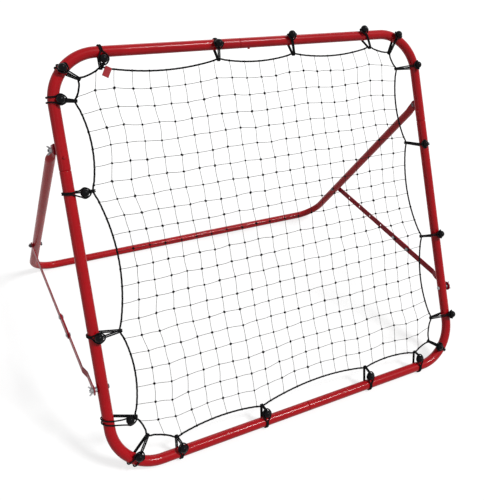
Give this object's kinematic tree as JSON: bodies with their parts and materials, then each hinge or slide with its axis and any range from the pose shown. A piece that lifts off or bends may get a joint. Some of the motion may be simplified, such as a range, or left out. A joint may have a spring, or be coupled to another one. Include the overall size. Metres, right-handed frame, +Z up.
{
  "type": "rebound net",
  "caption": "Folding rebound net: a square-mesh net hung by elastic loops in a leaning tubular frame, with a hinged rear leg and hooked side stays.",
  "frame": {"origin": "on the floor, under the middle of the object's box", "axes": "+X across the net to the right as seen from the front, +Y from the net back to the rear leg, +Z up"},
  "size_m": [1.046, 0.841, 0.8487],
  "materials": {
    "red_paint": "glossy powder coat",
    "dark_red_paint": "satin powder coat",
    "zinc": "zinc plated",
    "black_elastic": "matte",
    "black_twine": "braided",
    "red_cloth": "woven"
  },
  "bodies": {
    "frame": {"frame_upper_left": "red_paint", "frame_upper_right": "red_paint", "frame_lower_left": "red_paint", "frame_lower_right": "red_paint", "pivot_bracket_left": "dark_red_paint", "pivot_bracket_right": "dark_red_paint", "pivot_bolt_left": "zinc", "pivot_bolt_right": "zinc", "hook_bolt_left": "zinc", "hook_bolt_right": "zinc", "net": "black_twine", "border_cord": "black_twine", "bungee_bottom_1": "black_elastic", "bungee_bottom_2": "black_elastic", "bungee_bottom_3": "black_elastic", "bungee_bottom_4": "black_elastic", "bungee_right_1": "black_elastic", "bungee_right_2": "black_elastic", "bungee_right_3": "black_elastic", "bungee_right_4": "black_elastic", "bungee_top_1": "black_elastic", "bungee_top_2": "black_elastic", "bungee_top_3": "black_elastic", "bungee_top_4": "black_elastic", "bungee_left_1": "black_elastic", "bungee_left_2": "black_elastic", "bungee_left_3": "black_elastic", "bungee_left_4": "black_elastic", "bungee_bottom_left": "black_elastic", "bungee_bottom_right": "black_elastic", "bungee_top_right": "black_elastic", "bungee_top_left": "black_elastic", "cloth_tag": "red_cloth"},
    "leg": {"rear_leg": "red_paint", "stay_pin_left": "zinc", "stay_pin_right": "zinc", "stay_nut_left": "zinc", "stay_nut_right": "zinc"},
    "stay_left": {"stay_rear_left": "dark_red_paint", "stay_front_left": "dark_red_paint", "lap_bolt_left_1": "zinc", "lap_bolt_left_2": "zinc", "lap_nut_left_1": "zinc", "lap_nut_left_2": "zinc"},
    "pivot_nut_left": {"pivot_wing_nut_left": "zinc"},
    "hook_nut_left": {"hook_wing_nut_left": "zinc"},
    "stay_right": {"stay_rear_right": "dark_red_paint", "stay_front_right": "dark_red_paint", "lap_bolt_right_1": "zinc", "lap_bolt_right_2": "zinc", "lap_nut_right_1": "zinc", "lap_nut_right_2": "zinc"},
    "pivot_nut_right": {"pivot_wing_nut_right": "zinc"},
    "hook_nut_right": {"hook_wing_nut_right": "zinc"},
    "button_left": {"snap_button_left": "red_paint"},
    "button_right": {"snap_button_right": "red_paint"},
    "button_top": {"snap_button_top": "red_paint"},
    "button_bottom": {"snap_button_bottom": "red_paint"}
  },
  "joints": [
    {"name": "leg_fold", "type": "hinge", "parent": "frame", "child": "leg", "pos_m": [0, -0.01112, 0.63133], "axis": [-1, 0, 0], "range_deg": [0, 64]},
    {"name": "stay_swing_left", "type": "hinge", "parent": "leg", "child": "stay_left", "pos_m": [-0.5148, 0.29647, 0.1778], "axis": [-1, 0, 0], "range_deg": [0, 51.2]},
    {"name": "stay_swing_right", "type": "hinge", "parent": "leg", "child": "stay_right", "pos_m": [0.5148, 0.29647, 0.1778], "axis": [-1, 0, 0], "range_deg": [0, 51.2]},
    {"name": "pivot_nut_turn_left", "type": "hinge", "parent": "frame", "child": "pivot_nut_left", "pos_m": [-0.5028, -0.01112, 0.63133], "axis": [1, 0, 0], "continuous": true},
    {"name": "hook_nut_turn_left", "type": "hinge", "parent": "frame", "child": "hook_nut_left", "pos_m": [-0.508, -0.30085, 0.18951], "axis": [1, 0, 0], "continuous": true},
    {"name": "pivot_nut_turn_right", "type": "hinge", "parent": "frame", "child": "pivot_nut_right", "pos_m": [0.5028, -0.01112, 0.63133], "axis": [1, 0, 0], "continuous": true},
    {"name": "hook_nut_turn_right", "type": "hinge", "parent": "frame", "child": "hook_nut_right", "pos_m": [0.508, -0.30085, 0.18951], "axis": [1, 0, 0], "continuous": true},
    {"name": "button_press_left", "type": "slide", "parent": "frame", "child": "button_left", "axis": [0, 0.866, -0.5], "range_m": [0, 0.003], "stiffness_N_per_m": 400},
    {"name": "button_press_right", "type": "slide", "parent": "frame", "child": "button_right", "axis": [0.866, 0.433, -0.25], "range_m": [0, 0.003], "stiffness_N_per_m": 400},
    {"name": "button_press_top", "type": "slide", "parent": "frame", "child": "button_top", "axis": [0, 0.5, 0.866], "range_m": [0, 0.003], "stiffness_N_per_m": 400},
    {"name": "button_press_bottom", "type": "slide", "parent": "frame", "child": "button_bottom", "axis": [0, 0.342, -0.9397], "range_m": [0, 0.003], "stiffness_N_per_m": 400}
  ],
  "couplings": [
    {"joint": "stay_swing_left", "follows": "leg_fold", "ratio": 0.8},
    {"joint": "stay_swing_right", "follows": "leg_fold", "ratio": 0.8}
  ]
}
